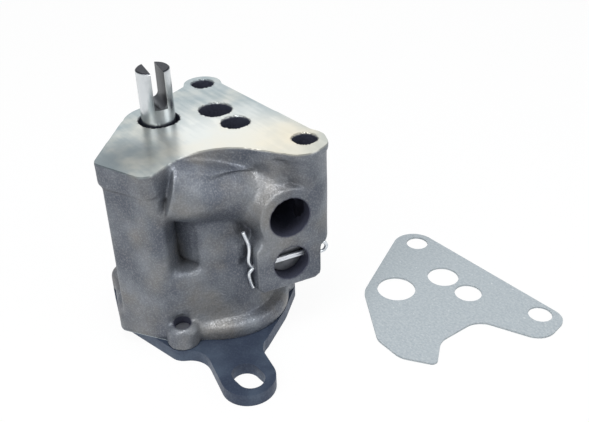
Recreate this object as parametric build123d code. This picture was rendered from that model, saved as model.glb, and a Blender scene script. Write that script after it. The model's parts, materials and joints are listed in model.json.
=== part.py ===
from build123d import *
import os
from math import acos, atan2, cos, degrees, pi, radians, sin, tan

# Gear-type engine oil pump.  All sizes are in millimetres.  The origin is the drive-shaft axis where
# it crosses the machined mounting face; +Z points out of that face, towards the engine block, and +X
# runs parallel to the line between the two mounting bolts.

# ---- mounting face ------------------------------------------------------------------------------
bolt_spacing = 66.7          # between the two mounting bolts, 2 5/8 in
bolt_left_x = -17.65         # left mounting bolt from the drive shaft
bolt_row_y = 31.0            # both bolts from the drive shaft
bolt_hole_d = 9.4            # clearance for a 3/8 in bolt
bolt_column_h = 42.0         # cast columns that the bolt heads seat against
bolt_column_r = 7.9
lobe_r = 8.3                 # right bolt lobe's round front, in the face
lobe_forward = (1.6, -4.6)   # its centre from the right bolt
lobe_taper = 17.0            # depth over which the lobe draws back into its column
lobe_step = 0.1              # it ends this much inside the column
flange_t = 9.0               # along the nose and the back
waist_t = 3.0                # along the waist and the right lobe
hole_lead_in = 0.5           # small chamfer round the oil and bolt holes
flange_corners = [           # x, y and corner radius, from the left bolt lobe down past the nose
    (-25.15, 37.1, 6.9),
    (-7.3, -12.2, 9.0),
    (15.3, -35.0, 2.4),
    (37.8, -27.1, 4.2),
    (26.6, 2.2, 23.4),       # the hollow waist
    (60.85, 23.4, 9.0),
    (56.65, 37.8, 6.6),
]

outlet_x, outlet_y = 7.1, 20.8       # main oil outlet in the mounting face
outlet_d = 13.0
feed_x, feed_y = 21.4, 20.2          # smaller oil hole, over the relief valve's seat
feed_d = 11.1
port_wall = 4.6

# ---- cast body ----------------------------------------------------------------------------------
body_h = 72.0                # mounting face to the joint with the cover
hub_r = 13.5                 # round the drive shaft, above the gear housing
nose_left = (16.8, -31.4)    # centres of the nose column's two rounded corners
nose_right = (31.6, -22.9)
nose_left_r = 2.2
nose_right_r = 3.6
shoulder_h = 28.5            # gear housing's height above the cover joint
shoulder_round = 4.0
drive_wall_r = 20.8          # gear housing round the drive gear
idler_wall_r = 20.4          # gear housing round the idler gear
core_wall_r = 17.4           # recessed wall above the shoulder, round the idler shaft
rim_t = 5.6                  # rim at the cover joint
rim_over = 5.8               # how far the rim stands out from the gear housing
rim_round = 3.0

# ---- gears and shafts -----------------------------------------------------------------------------
gear_teeth = 10
gear_module = 2.664
gear_pressure_angle = 25.0
gear_addendum = 0.92         # in modules
gear_dedendum = 1.16         # in modules
gear_backlash = 0.12         # taken off each tooth's thickness at the pitch circle
gear_len = 17.5
idler_angle = 12.6           # direction of the idler from the drive shaft, degrees from +X
gear_end_gap = 0.06          # between a gear's face and the cover or the chamber's roof
gear_tip_gap = 0.08          # between the tooth tips and the chamber's wall

shaft_d = 12.7               # 1/2 in drive shaft
shaft_top = 20.6             # above the mounting face
shaft_edge = 0.5
slot_w = 4.9                 # forked driving end
slot_depth = 14.0
slot_turn = -13.0            # direction of the slot, degrees from +X
shaft_end_gap = 0.5          # between the drive shaft's lower end and the cover
bearing_gap = 0.03           # radial running clearance
idler_shaft_d = 12.7
idler_shaft_grip = 13.0      # length pressed into the body's roof

bush_wall = 1.55             # the bushings then fill a 15.8 mm hole
bush_len = 15.0
bush_top = -12.0             # upper bushing sits this far below the mounting face

# ---- inlet and relief boss ------------------------------------------------------------------------
boss_turn = -12.4            # direction that the boss faces, degrees from +X
boss_face = 49.9             # its face from the drive-shaft axis, along that direction
boss_side = 30.1             # its bores from the drive-shaft axis, across that direction
inlet_z = -25.4
inlet_d = 15.75              # takes a 5/8 in pickup tube
inlet_depth = 24.0
inlet_wall = 3.9
relief_z = -45.2
relief_d = 13.97
relief_wall = 5.4            # side wall of the rectangular block, on the right
relief_wall_left = 6.8       # and on the left, where the cotter pin's legs are bent
relief_floor = 3.4           # wall under the relief bore
block_round = 2.8
boss_waist_r = 4.0           # rounds the inside corners between lobe and block
relief_seat_depth = 26.0     # boss face to the valve's seat
relief_seat_d = 9.6
relief_dump_d = 5.0          # return hole up into the inlet bore

# ---- passages -------------------------------------------------------------------------------------
duct_r = 11.3                # outside of the cast inlet passage under the flange's waist
duct_nose = (29.2, -15.8, -11.3)     # its axis in the nose
duct_boss = (42.0, 14.2, -20.8)      # its axis behind the inlet boss
duct_bore_d = 12.0
duct_turn = 0.65             # how far along towards the nose the bore turns down to the well
suction_x, suction_y = 18.4, -15.6   # suction well inside the nose, beside the gears' mesh
suction_d = 13.0
suction_top = -15.0
outlet_well = (10.2, 15.9)   # pressure well beside the gears' mesh, under the outlet
outlet_well_d = 11.0

# ---- raised pad in the recess ---------------------------------------------------------------------
pad_angle = -33.0            # direction from the idler shaft
pad_w = 15.0
pad_proud = 1.3
pad_top = -21.0

# ---- cover and its screws -------------------------------------------------------------------------
cover_t = 5.0
cover_seal_t = 0.25
seal_inset = 0.4             # its edge stands inside the rim's
ear_r = 6.3
ear_h = 8.0                  # screw bosses on the body
ear_round = 2.6
screw_sites = {
    "front": (37.8, -20.5),
    "nose": (9.4, -26.0),
    "left": (-7.2, -19.8),
    "back": (-13.5, 18.8),
    "right": (34.1, 28.0),
}
screw_d = 6.35               # 1/4 in flat-head screws, heads flush under the cover
screw_head_d = 12.0
screw_head_h = 2.9
screw_len = 11.3             # over the head
screw_point = 0.6            # chamfered end
screw_slot_w = 1.6
screw_slot_depth = 1.1
screw_hole_gap = 0.25        # radial, through the cover
lug_x, lug_y = 69.25, -13.25 # centre of the cover's bracket lug
lug_r = 10.0
lug_root = (47.0, -7.6)
lug_root_r = 9.6
lug_slot_w = 10.0
lug_slot_len = 13.6
lug_hollow_r = 9.0           # rounds the inside corners between lug and plate
plate_root = (50.6, 1.2)     # rounded corner of the plate, beside the lug
plate_root_r = 7.3

# ---- relief valve ---------------------------------------------------------------------------------
plunger_len = 12.0
plunger_gap = 0.05           # radial clearance in the bore
plunger_wall = 2.2
plunger_crown = 3.0
plunger_edge = 1.2           # chamfer that beds on the seat
plunger_travel = 5.0         # from the seat until the return hole is half open
spring_wire = 1.4
spring_mean_r = 3.9
spring_turns = 5.5
retainer_h = 3.0
retainer_wall = 1.2
retainer_gap = 0.10
pin_depth = 4.3              # cotter pin's axis behind the boss face
pin_d = 2.4
pin_hole_gap = 0.15
pin_eye_r = 2.1              # mean radius of the cotter pin's eye
pin_leg_up = 15.7
pin_leg_down = 9.4
pin_bend = 1.0               # radius of the legs' turns
pin_leg_pressed = 0.9        # the legs are pressed a little into each other
pin_leg_gap = 0.25           # between the bent legs and the boss

# ---- mounting gasket ------------------------------------------------------------------------------
gasket_t = 0.8
gasket_x, gasket_y = 63.2, 66.8      # its shaft hole's centre, lying beside the pump
gasket_turn = 0.6
gasket_corners = [           # x, y and corner radius, in the same order as the flange's
    (-32.5, 38.6, 9.5),
    (-7.5, -11.5, 12.0),
    (17.8, -28.2, 8.0),
    (30.5, -28.8, 8.0),
    (42.2, -21.3, 2.4),
    (34.2, -10.5, 8.0),      # the notch beside the nose
    (35.2, 9.5, 9.0),
    (60.2, 19.6, 8.5),
    (57.5, 37.0, 6.5),
]

# ---- places that follow from the sizes ------------------------------------------------------------
bush_d = shaft_d + 2 * bush_wall
gear_centres = gear_module * gear_teeth
idler = (gear_centres * cos(radians(idler_angle)), gear_centres * sin(radians(idler_angle)))
gear_tip_r = gear_module * (gear_teeth / 2 + gear_addendum)
chamber_r = gear_tip_r + gear_tip_gap
chamber_top = -body_h + gear_len + 2 * gear_end_gap
gear_bottom = -body_h + gear_end_gap
seal_bottom = -body_h - cover_seal_t
cover_bottom = seal_bottom - cover_t
shoulder_z = -body_h + shoulder_h
bolt_sites = [(bolt_left_x, bolt_row_y), (bolt_left_x + bolt_spacing, bolt_row_y)]
boss_n = Vector(cos(radians(boss_turn)), sin(radians(boss_turn)), 0)
boss_t = Vector(-sin(radians(boss_turn)), cos(radians(boss_turn)), 0)
relief_dump_depth = relief_seat_depth - plunger_travel
outlet_round = ((outlet_x, outlet_y), outlet_d / 2 + port_wall)
feed_round = ((feed_x, feed_y), feed_d / 2 + port_wall)


def boss_point(depth, side=0.0, z=0.0):
    """A point behind the boss's face, measured from the bores' common plane."""
    p = boss_n * (boss_face - depth) + boss_t * (boss_side + side)
    return Vector(p.X, p.Y, z)


def disc(centre, r):
    return Pos(centre[0], centre[1]) * Circle(r)


def hull(*rounds):
    """The taut outline round several circles, each given as (centre, radius)."""
    middle = Vector(sum(c[0] for c, r in rounds), sum(c[1] for c, r in rounds)) / len(rounds)
    edges = []
    for centre, r in rounds:
        inward = degrees(atan2(middle.Y - centre[1], middle.X - centre[0]))
        edges += (Pos(centre[0], centre[1]) * Rot(0, 0, inward) * Circle(r)).edges()
    return make_hull(edges)


def slab(outline, z_low, z_high):
    """A flat outline made into a solid between two heights."""
    return extrude(Pos(0, 0, z_low) * outline, z_high - z_low)


def rod(start, end, r):
    """A round bar between two points."""
    axis = end - start
    return extrude(Plane(origin=start, z_dir=axis) * Circle(r), axis.length)


def rounded_outline(corners):
    """A closed outline of straight sides, from (x, y, corner radius)."""
    path = FilletPolyline(*[(x, y) for x, y, r in corners], radius=[r for x, y, r in corners], close=True)
    return make_face(path.edges())


def flange_outline():
    """The mounting flange: two bolt lobes, the nose, and a hollow waist between nose and right bolt."""
    return rounded_outline(flange_corners)


def lip_outline():
    """The thicker part of the flange: the nose, the left lobe and the back."""
    nose_band = nose_right_r + waist_t
    rounds = [(bolt_sites[0], bolt_column_r), (nose_left, nose_band), (nose_right, nose_band)]
    return flange_outline() & hull(*rounds, ((feed_x, bolt_row_y), nose_band))


def waist_outline():
    """Solid metal under the flange, from the nose along the waist to the right bolt."""
    rounds = [(nose_left, nose_left_r), (nose_right, nose_right_r), outlet_round, feed_round]
    return flange_outline() & hull(*rounds, (bolt_sites[1], port_wall))


def flange_holes():
    """Centres and radii of the five holes in the mounting face, the shaft's first."""
    holes = [((0, 0), bush_d / 2), ((outlet_x, outlet_y), outlet_d / 2), ((feed_x, feed_y), feed_d / 2)]
    return holes + [(site, bolt_hole_d / 2) for site in bolt_sites]


def nose_outline():
    """The nose column, from the hub out to its two rounded corners."""
    return hull(((0, 0), hub_r), (nose_left, nose_left_r), (nose_right, nose_right_r))


def port_outline():
    """The tower that carries the two oil holes down from the mounting face."""
    return hull(outlet_round, feed_round)


def housing_outline(grow=0.0):
    """The gear housing, and with grow its rim at the cover joint."""
    walls = [((0, 0), drive_wall_r + grow), (idler, idler_wall_r + grow)]
    nose = [(nose_left, nose_left_r + grow / 3), (nose_right, nose_right_r)]
    return hull(*walls, *nose, outlet_round, feed_round)


def bolt_columns():
    """The columns under the mounting bolts, each webbed to the port tower."""
    columns = Part()
    for site, port in zip(bolt_sites, (outlet_round, feed_round)):
        web = hull((site, bolt_hole_d / 3), (port[0], port_wall))
        columns += slab(disc(site, bolt_column_r) + web, -bolt_column_h, 0)
    x, y = bolt_sites[1]
    front = Pos(x + lobe_forward[0], y + lobe_forward[1]) * Circle(lobe_r)
    back = Pos(x, y, -lobe_taper) * Circle(bolt_column_r - lobe_step)
    return columns + loft([back, front])


def gear_housing():
    """The lower housing with its rounded shoulder and the rim at the cover joint."""
    shell = slab(housing_outline(), -body_h, shoulder_z)
    shell = fillet(shell.faces().sort_by(Axis.Z)[-1].edges(), shoulder_round)
    rim = slab(housing_outline(rim_over), -body_h, -body_h + rim_t)
    rim = fillet(rim.faces().sort_by(Axis.Z)[-1].edges(), rim_round)
    return shell + rim


def screw_bosses():
    """A rounded boss on the body over each cover screw."""
    bosses = Part()
    for site in screw_sites.values():
        boss = slab(disc(site, ear_r), -body_h, -body_h + ear_h)
        bosses += fillet(boss.faces().sort_by(Axis.Z)[-1].edges(), ear_round)
    return bosses


def on_boss(solid, depth=0.0, z=0.0):
    """Places a solid drawn facing the boss: X across it, Y up, and +Z out along its bores."""
    return Plane(origin=boss_point(depth, 0, z), x_dir=boss_t, z_dir=boss_n).location * solid


def boss_outline():
    """A round lobe about the inlet bore over a squarer block about the relief bore."""
    inlet_r = inlet_d / 2 + inlet_wall
    relief_r = relief_d / 2
    left, right = -relief_r - relief_wall_left, relief_r + relief_wall
    bottom, top = relief_z - relief_r - relief_floor, relief_z + relief_r + waist_t
    middle = Pos((left + right) / 2, (bottom + top) / 2)
    outline = disc((0, inlet_z), inlet_r) + middle * RectangleRounded(right - left, top - bottom, block_round)
    return offset(offset(outline, boss_waist_r), -boss_waist_r)


def inlet_boss():
    """The boss that carries the pickup inlet and the relief valve."""
    reach = boss_face - idler[0]
    return on_boss(extrude(boss_outline(), reach), reach)


def inlet_duct():
    """The cast passage that crosses under the flange's waist, from the boss to the nose."""
    duct = rod(Vector(duct_nose), Vector(duct_boss), duct_r) + Pos(duct_boss) * Sphere(duct_r)
    return duct - slab(Rectangle(4 * body_h, 4 * body_h), 0, 2 * duct_r)


def recess_pad():
    """The low rectangular pad on the recessed wall."""
    reach = core_wall_r + pad_proud
    pad = Pos(reach / 2, 0, (shoulder_z + pad_top) / 2) * Box(reach, pad_w, pad_top - shoulder_z)
    pad = fillet(pad.edges().filter_by(Axis.Z).group_by(Axis.X)[-1], pad_proud)
    return Pos(idler[0], idler[1]) * Rot(0, 0, pad_angle) * pad


def body_blank():
    """The casting before its bores are cut."""
    blank = slab(flange_outline(), -waist_t, 0) + slab(lip_outline(), -flange_t, 0)
    blank += slab(waist_outline(), duct_nose[2], 0)
    blank += bolt_columns()
    blank += slab(nose_outline(), -body_h, 0)
    blank += slab(disc(idler, core_wall_r), -body_h, duct_nose[2])
    blank += slab(port_outline(), -body_h, 0)
    blank += gear_housing()
    blank += inlet_duct()
    blank += inlet_boss()
    blank += recess_pad()
    return blank + screw_bosses()


def body_passages():
    """Suction passage from the inlet bore to the gears, and the pressure side's wells."""
    start, end = Vector(duct_boss), Vector(duct_nose)
    in_bore = boss_point(inlet_depth / 2, 0, inlet_z)
    turn = start + (end - start) * duct_turn
    well_top = Vector(suction_x, suction_y, suction_top)
    r = duct_bore_d / 2
    elbow = Plane(origin=turn, z_dir=well_top - turn).location * Sphere(r)
    cut = rod(in_bore, turn, r) + elbow + rod(turn, well_top, r)
    cut += slab(disc((suction_x, suction_y), suction_d / 2), -body_h, suction_top + r)
    cut += slab(disc(outlet_well, outlet_well_d / 2), -body_h, chamber_top)
    return cut


def relief_bores():
    """Plunger bore, its seat, the feed into the seat, and the return up to the inlet."""
    feed = Vector(feed_x, feed_y, 0)
    feed_depth, feed_side = boss_face - feed.dot(boss_n), feed.dot(boss_t) - boss_side
    seat, foot = boss_point(relief_seat_depth, 0, relief_z), boss_point(feed_depth, 0, relief_z)
    cut = rod(seat, boss_point(0, 0, relief_z), relief_d / 2)
    cut += rod(foot, seat, relief_seat_d / 2)
    cut += rod(boss_point(feed_depth, feed_side, relief_z), foot, relief_seat_d / 2)
    return_top = boss_point(relief_dump_depth, 0, inlet_z)
    cut += rod(boss_point(relief_dump_depth, 0, relief_z), return_top, relief_dump_d / 2)
    pin_left = boss_point(pin_depth, -relief_d - relief_wall_left, relief_z)
    pin_right = boss_point(pin_depth, relief_d + relief_wall, relief_z)
    return cut + rod(pin_left, pin_right, pin_d / 2 + pin_hole_gap)


def face_holes():
    """The five holes in the mounting face, each with its small lead-in."""
    ends = [chamber_top, chamber_top - gear_len / 2, relief_z, -bolt_column_h, -bolt_column_h]
    cut = Part()
    for (centre, r), end in zip(flange_holes(), ends):
        lead_in = Cone(r, r + hole_lead_in, hole_lead_in, align=(Align.CENTER, Align.CENTER, Align.MAX))
        cut += slab(disc(centre, r), end, 0) + Pos(centre[0], centre[1]) * lead_in
    return cut


def pump_body():
    body = body_blank()
    body -= slab(disc((0, 0), chamber_r) + disc(idler, chamber_r), -body_h, chamber_top)
    body -= slab(disc(idler, idler_shaft_d / 2), chamber_top, chamber_top + idler_shaft_grip)
    body -= face_holes()
    body -= rod(boss_point(inlet_depth, 0, inlet_z), boss_point(0, 0, inlet_z), inlet_d / 2)
    body -= body_passages()
    body -= relief_bores()
    for site in screw_sites.values():
        body -= slab(disc(site, screw_d / 2), -body_h, -body_h + ear_h + screw_d / 2)
    return body


def plate_blank():
    """The cover: screw ears and gear housing in one hull, with the bracket lug joined by round hollows."""
    ears = [(site, ear_r) for site in screw_sites.values()]
    rims = [((0, 0), drive_wall_r + rim_over), (idler, idler_wall_r + rim_over)]
    plate = hull(*ears, *rims, (plate_root, plate_root_r))
    lug = hull(((lug_x, lug_y), lug_r), (lug_root, lug_root_r))
    blank = slab(plate + lug, cover_bottom, seal_bottom)
    lug_middle = ((lug_x + lug_root[0]) / 2, (lug_y + lug_root[1]) / 2, seal_bottom)
    inside_corners = blank.edges().filter_by(Axis.Z).sort_by_distance(lug_middle)[:2]
    return fillet(inside_corners, lug_hollow_r)


def bottom_cover():
    cover = plate_blank()
    slot = Pos(lug_x, lug_y) * SlotOverall(lug_slot_len, lug_slot_w)
    cover -= slab(slot, cover_bottom, seal_bottom)
    for site in screw_sites.values():
        cover -= slab(disc(site, screw_d / 2 + screw_hole_gap), cover_bottom, seal_bottom)
        cover -= Pos(site[0], site[1], cover_bottom) * screw_head()
    return cover


def cover_seal():
    """Thin paper seal between the body and its cover."""
    sheet = housing_outline(rim_over - seal_inset)
    for site in screw_sites.values():
        sheet += disc(site, ear_r - seal_inset)
    sheet -= disc((0, 0), chamber_r) + disc(idler, chamber_r)
    sheet -= disc((suction_x, suction_y), suction_d / 2) + disc(outlet_well, outlet_well_d / 2)
    for site in screw_sites.values():
        sheet -= disc(site, screw_d / 2 + screw_hole_gap)
    return slab(sheet, seal_bottom, -body_h)


def screw_head():
    """The countersunk head, its flat at z = 0."""
    return Cone(screw_head_d / 2, screw_d / 2, screw_head_h, align=(Align.CENTER, Align.CENTER, Align.MIN))


def cover_screw(site):
    screw = screw_head() + Cylinder(screw_d / 2, screw_len, align=(Align.CENTER, Align.CENTER, Align.MIN))
    screw = chamfer(screw.faces().sort_by(Axis.Z)[-1].edges(), screw_point)
    screw -= Pos(0, 0, screw_slot_depth / 2) * Box(2 * screw_head_d, screw_slot_w, screw_slot_depth)
    return Pos(site[0], site[1], cover_bottom) * screw


def involute(base_r, r, turn, flip):
    """A point of the tooth's flank at radius r, its pitch point turned by turn (radians)."""
    a = acos(base_r / r)
    angle = turn + flip * (tan(a) - a)
    return (r * cos(angle), r * sin(angle))


def gear(bore_r, start_angle):
    """A spur gear: flanks are splines through points of the involute, joined by arcs."""
    pitch_r = gear_module * gear_teeth / 2
    base_r = pitch_r * cos(radians(gear_pressure_angle))
    root_r = pitch_r - gear_module * gear_dedendum
    flank_angle = acos(base_r / pitch_r)
    inv = tan(flank_angle) - flank_angle
    half_tooth = (pi * gear_module / 2 - gear_backlash) / (2 * pitch_r)
    steps = [base_r + (gear_tip_r - base_r) * (k / 4) ** 1.5 for k in range(5)]
    steps[0] = base_r * 1.0001
    tooth = []
    for k in range(gear_teeth):
        mid = radians(start_angle) + 2 * pi * k / gear_teeth
        right = [involute(base_r, r, mid - half_tooth - inv, 1) for r in steps]
        left = [involute(base_r, r, mid + half_tooth + inv, -1) for r in reversed(steps)]
        tooth.append((mid, right, left))
    edges = []
    for k, (mid, right, left) in enumerate(tooth):
        foot_right = mid - half_tooth - inv
        foot_left = mid + half_tooth + inv
        next_mid, next_right, _ = tooth[(k + 1) % gear_teeth]
        next_foot = foot_right + 2 * pi / gear_teeth
        root_a = (root_r * cos(foot_left), root_r * sin(foot_left))
        root_b = (root_r * cos(next_foot), root_r * sin(next_foot))
        valley = (foot_left + next_foot) / 2
        tip = (gear_tip_r * cos(mid), gear_tip_r * sin(mid))
        low = (root_r * cos(valley), root_r * sin(valley))
        edges.append(Spline(*right))
        edges.append(ThreePointArc(right[-1], tip, left[0]))
        edges.append(Spline(*left))
        edges.append(Line(left[-1], root_a))
        edges.append(ThreePointArc(root_a, low, root_b))
        edges.append(Line(root_b, next_right[0]))
    wheel = make_face(edges) - Circle(bore_r)
    return slab(wheel, gear_bottom, gear_bottom + gear_len)


def drive_gear():
    return gear(shaft_d / 2, idler_angle)


def idler_gear():
    """Turned so that a gap faces the drive gear's tooth."""
    wheel = gear(idler_shaft_d / 2 + bearing_gap, idler_angle + 180 + 180 / gear_teeth)
    return Pos(idler[0], idler[1]) * wheel


def drive_shaft():
    """Plain shaft with a forked upper end that the engine's driving tongue drops into."""
    bottom = seal_bottom + shaft_end_gap
    shaft = slab(Circle(shaft_d / 2), bottom, shaft_top)
    ends = shaft.edges().filter_by(GeomType.CIRCLE)
    shaft = chamfer(ends, shaft_edge)
    slot_bottom = shaft_top - slot_depth
    r = slot_w / 2
    slot = Rot(0, 90, 0) * Cylinder(r, 2 * shaft_d)
    slot += Box(2 * shaft_d, slot_w, slot_depth, align=(Align.CENTER, Align.CENTER, Align.MIN))
    return shaft - Pos(0, 0, slot_bottom + r) * Rot(0, 0, slot_turn) * slot


def idler_shaft():
    shaft = slab(disc(idler, idler_shaft_d / 2), seal_bottom, chamber_top + idler_shaft_grip)
    return chamfer(shaft.edges().filter_by(GeomType.CIRCLE), shaft_edge)


def bushing(top):
    ring = slab(Circle(bush_d / 2) - Circle(shaft_d / 2 + bearing_gap), top - bush_len, top)
    return ring


def on_relief_axis(solid, depth):
    """Places a solid made along +Z so that +Z points out of the relief bore."""
    return on_boss(solid, depth, relief_z)


def spring_space():
    """Depths of the spring's two ends: on the plunger's crown and on the retainer's floor."""
    inner = relief_seat_depth - plunger_crown
    outer = pin_depth + pin_d / 2 + retainer_wall
    return inner, outer


def relief_plunger():
    """Hollow plunger, its closed crown on the seat and its open end towards the spring."""
    r = relief_d / 2 - plunger_gap
    body = Cylinder(r, plunger_len, align=(Align.CENTER, Align.CENTER, Align.MIN))
    body = chamfer(body.faces().sort_by(Axis.Z)[0].edges(), plunger_edge)
    hollow = Cylinder(r - plunger_wall, plunger_len, align=(Align.CENTER, Align.CENTER, Align.MIN))
    return on_relief_axis(body - Pos(0, 0, plunger_crown) * hollow, relief_seat_depth)


def spring_retainer():
    """Shallow cup that the cotter pin holds; its floor faces out."""
    r = relief_d / 2 - retainer_gap
    cup = Cylinder(r, retainer_h, align=(Align.CENTER, Align.CENTER, Align.MAX))
    cup = fillet(cup.faces().sort_by(Axis.Z)[-1].edges(), retainer_wall / 2)
    hollow = Cylinder(r - retainer_wall, retainer_h, align=(Align.CENTER, Align.CENTER, Align.MAX))
    return on_relief_axis(cup - Pos(0, 0, -retainer_wall) * hollow, pin_depth + pin_d / 2)


def relief_spring():
    """Open coil between plunger and retainer."""
    inner, outer = spring_space()
    height = inner - outer - spring_wire
    coil = Helix(pitch=height / spring_turns, height=height, radius=spring_mean_r)
    section = Plane(origin=coil @ 0, z_dir=coil % 0) * Circle(spring_wire / 2)
    return on_relief_axis(Pos(0, 0, spring_wire / 2) * sweep(section, path=coil, is_frenet=True), inner)


def cotter_pin():
    """Split pin across the relief bore: an eye on the right, two legs bent apart on the left."""
    leg_r = pin_d / 4
    left = -relief_d / 2 - relief_wall_left - pin_leg_gap - leg_r
    eye_x = relief_d / 2 + relief_wall + pin_leg_gap + pin_eye_r
    pin = Pos(eye_x, 0) * Torus(pin_eye_r, leg_r)
    for side, reach in ((1, pin_leg_up), (-1, pin_leg_down)):
        y = side * leg_r * pin_leg_pressed
        path = FilletPolyline((eye_x - pin_eye_r, y), (left, y), (left, side * reach), radius=pin_bend)
        section = Plane(origin=path @ 0, z_dir=path % 0) * Circle(leg_r)
        pin += sweep(section, path=path)
    return on_boss(pin, pin_depth, relief_z)


def mounting_gasket():
    """Paper gasket for the mounting face, lying flat beside the pump."""
    sheet = rounded_outline(gasket_corners)
    for centre, r in flange_holes():
        sheet -= disc(centre, r)
    return Pos(gasket_x, gasket_y, cover_bottom) * Rot(0, 0, gasket_turn) * slab(sheet, 0, gasket_t)


def build_parts():
    parts = {
        "pump_body": pump_body(),
        "bottom_cover": bottom_cover(),
        "cover_seal": cover_seal(),
        "drive_shaft": drive_shaft(),
        "drive_gear": drive_gear(),
        "idler_shaft": idler_shaft(),
        "idler_gear": idler_gear(),
        "upper_bushing": bushing(bush_top),
        "lower_bushing": bushing(chamber_top + bush_len),
        "relief_plunger": relief_plunger(),
        "relief_spring": relief_spring(),
        "spring_retainer": spring_retainer(),
        "cotter_pin": cotter_pin(),
        "mounting_gasket": mounting_gasket(),
    }
    for name, site in screw_sites.items():
        parts["cover_screw_" + name] = cover_screw(site)
    return parts


def write_parts():
    os.makedirs("parts", exist_ok=True)
    for name, solid in build_parts().items():
        export_step(solid, "parts/" + name + ".step")


write_parts()
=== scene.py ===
"""Looks of a gear-type engine oil pump: cast-iron body with a machined face, cover, shaft and gasket."""

import json
import logging
import math
from dataclasses import dataclass, field
from enum import Enum

import bmesh
import bpy
import numpy as np
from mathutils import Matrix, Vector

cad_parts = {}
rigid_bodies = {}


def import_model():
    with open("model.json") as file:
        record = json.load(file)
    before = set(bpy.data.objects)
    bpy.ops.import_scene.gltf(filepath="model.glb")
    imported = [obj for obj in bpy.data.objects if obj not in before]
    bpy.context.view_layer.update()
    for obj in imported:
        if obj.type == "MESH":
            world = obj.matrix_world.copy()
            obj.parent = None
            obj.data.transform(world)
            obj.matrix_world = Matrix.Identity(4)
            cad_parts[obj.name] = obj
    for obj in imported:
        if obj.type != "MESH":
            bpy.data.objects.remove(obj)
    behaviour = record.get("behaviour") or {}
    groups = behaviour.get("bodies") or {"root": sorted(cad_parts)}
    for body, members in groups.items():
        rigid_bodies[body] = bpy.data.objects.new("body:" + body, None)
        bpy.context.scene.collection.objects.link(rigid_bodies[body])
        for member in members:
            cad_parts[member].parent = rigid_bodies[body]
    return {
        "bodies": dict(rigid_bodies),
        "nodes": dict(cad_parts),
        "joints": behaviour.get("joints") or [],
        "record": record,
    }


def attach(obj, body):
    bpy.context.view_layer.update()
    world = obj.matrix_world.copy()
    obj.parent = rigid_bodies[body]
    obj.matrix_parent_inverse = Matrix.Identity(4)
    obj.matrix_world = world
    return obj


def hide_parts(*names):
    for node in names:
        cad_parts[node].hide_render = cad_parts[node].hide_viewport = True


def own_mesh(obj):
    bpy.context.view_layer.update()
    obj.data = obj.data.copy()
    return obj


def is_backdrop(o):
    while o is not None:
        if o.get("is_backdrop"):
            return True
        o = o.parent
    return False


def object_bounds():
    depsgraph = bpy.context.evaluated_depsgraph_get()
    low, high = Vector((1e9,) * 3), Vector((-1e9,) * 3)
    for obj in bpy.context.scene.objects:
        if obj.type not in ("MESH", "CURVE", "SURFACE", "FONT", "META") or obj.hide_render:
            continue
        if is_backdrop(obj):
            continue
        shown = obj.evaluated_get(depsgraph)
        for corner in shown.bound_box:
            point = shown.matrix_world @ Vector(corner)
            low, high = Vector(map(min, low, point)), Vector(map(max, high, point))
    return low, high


LOG = logging.getLogger("oil_pump")
MM = 0.001
Colour = tuple[float, float, float, float]
Point = tuple[float, float, float]
Flat = tuple[float, float]
Socket = bpy.types.NodeSocket
Node = bpy.types.Node
Tree = bpy.types.NodeTree
Outputs = bpy.types.NodeOutputs
Inputs = bpy.types.NodeInputs
Material = bpy.types.Material
Array = np.ndarray
Mesh = tuple[Array, Array]
UP = np.array([0.0, 0.0, 1.0])
TUBE_TIP, TUBE_SHOULDER = 0.05, 0.75  # widths of a tube's last two rings, as shares of its own


# ---- meshes ----


def mesh_arrays(mesh: bpy.types.Mesh) -> Mesh:
    """Vertex places (n, 3) in millimetres, and faces (m, corners), of a mesh of triangles or of quads."""
    places = np.empty(len(mesh.vertices) * 3, np.float32)
    mesh.vertices.foreach_get("co", places)
    corners = np.empty(len(mesh.loops), np.int32)
    mesh.loops.foreach_get("vertex_index", corners)
    return places.reshape(-1, 3).astype(float) / MM, corners.reshape(len(mesh.polygons), -1)


def vertex_normals(places: Array, faces: Array) -> Array:
    """A unit normal for each vertex, from the cross products of the faces' diagonals (or edges)."""
    a = places[faces[:, 2]] - places[faces[:, 0]]
    b = places[faces[:, -1]] - places[faces[:, 1]]
    across = np.cross(a, b)
    total = np.zeros_like(places)
    for axis in range(3):
        spread = np.repeat(across[:, axis], faces.shape[1])
        total[:, axis] = np.bincount(faces.ravel(), spread, len(places))
    return total / np.maximum(np.linalg.norm(total, axis=1, keepdims=True), 1e-12)


def new_piece(name: str, places: Array, faces: Array, smooth: bool = True) -> bpy.types.Object:
    """Makes a piece whose object sits at the origin, with its place in its mesh.

    Args:
        name: the piece's name.
        places: vertex places in millimetres.
        faces: quads or triangles, turned outwards.
        smooth: whether its faces are shaded smooth.

    Returns:
        The new object.
    """
    mesh = bpy.data.meshes.new(name)
    mesh.from_pydata((places * MM).tolist(), [], faces.tolist())
    mesh.polygons.foreach_set("use_smooth", np.full(len(mesh.polygons), smooth))
    mesh.update()
    piece = bpy.data.objects.new(name, mesh)
    bpy.context.scene.collection.objects.link(piece)
    return piece


def paint(piece: bpy.types.Object, name: str, values: Array) -> None:
    """Stores one number for each vertex as a named attribute of the piece."""
    layer = piece.data.attributes.new(name, "FLOAT", "POINT")
    layer.data.foreach_set("value", values.astype(np.float32))


def dress(piece: bpy.types.Object, material: Material) -> None:
    """Gives every material slot of a piece one material."""
    piece.data.materials.clear()
    piece.data.materials.append(material)


def ramp(values: Array, low: float, high: float) -> Array:
    """Smooth step: 0 below low, 1 above high, and 3t^2 - 2t^3 between."""
    t = np.clip((values - low) / (high - low), 0.0, 1.0)
    return t * t * (3.0 - 2.0 * t)


def within(values: Array, rise: Flat, fall: Flat) -> Array:
    """Mask that climbs to 1 over the first pair of values and drops to 0 over the second."""
    return ramp(values, *rise) * (1.0 - ramp(values, *fall))


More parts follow.
